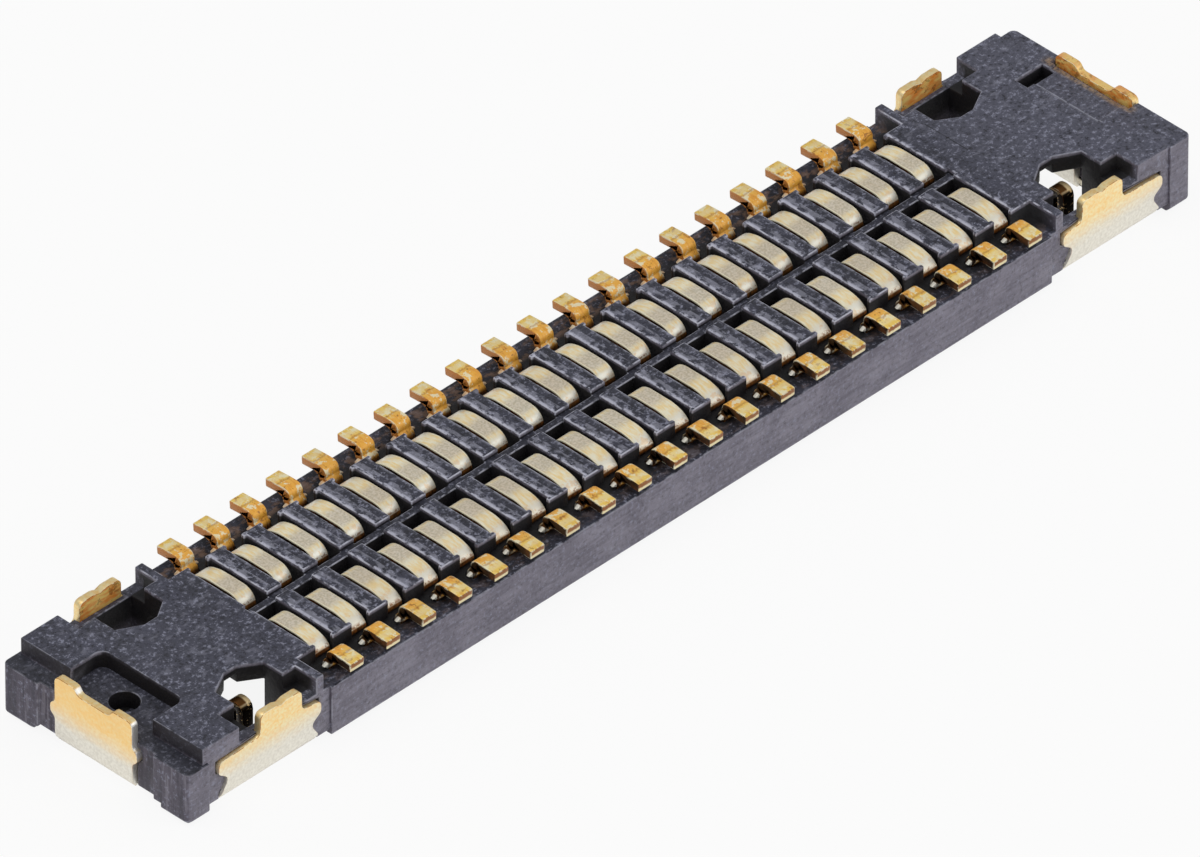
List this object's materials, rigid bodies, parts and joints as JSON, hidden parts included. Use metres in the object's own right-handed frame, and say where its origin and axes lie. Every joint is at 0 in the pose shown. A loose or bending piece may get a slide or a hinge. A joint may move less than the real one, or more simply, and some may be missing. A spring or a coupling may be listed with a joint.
{
  "type": "board-to-board connector",
  "caption": "Low fine-pitch board-to-board receptacle: two rows of bent spring contacts in a dark moulded housing with a stamped metal fitting at each end.",
  "frame": {"origin": "middle of the overall box, in the plane of the four corner feet on which the part lies", "axes": "+X along the contact rows towards the plain end, +Y across the rows, +Z from the mating side to the solder tails"},
  "size_m": [0.0098, 0.0018, 0.0006],
  "materials": {
    "housing": "matte charcoal moulding with fine flecks",
    "fitting": "thin satin gold over nickel on stamped copper alloy",
    "contact": "satin gold on the tails, pale nickel on the arches"
  },
  "bodies": {
    "root": {"housing": "housing", "end_fitting_left": "fitting", "end_fitting_right": "fitting", "contact_far_01": "contact", "contact_far_02": "contact", "contact_far_03": "contact", "contact_far_04": "contact", "contact_far_05": "contact", "contact_far_06": "contact", "contact_far_07": "contact", "contact_far_08": "contact", "contact_far_09": "contact", "contact_far_10": "contact", "contact_far_11": "contact", "contact_far_12": "contact", "contact_far_13": "contact", "contact_far_14": "contact", "contact_far_15": "contact", "contact_far_16": "contact", "contact_far_17": "contact", "contact_far_18": "contact", "contact_far_19": "contact", "contact_far_20": "contact", "contact_near_01": "contact", "contact_near_02": "contact", "contact_near_03": "contact", "contact_near_04": "contact", "contact_near_05": "contact", "contact_near_06": "contact", "contact_near_07": "contact", "contact_near_08": "contact", "contact_near_09": "contact", "contact_near_10": "contact", "contact_near_11": "contact", "contact_near_12": "contact", "contact_near_13": "contact", "contact_near_14": "contact", "contact_near_15": "contact", "contact_near_16": "contact", "contact_near_17": "contact", "contact_near_18": "contact", "contact_near_19": "contact", "contact_near_20": "contact"}
  },
  "joints": []
}
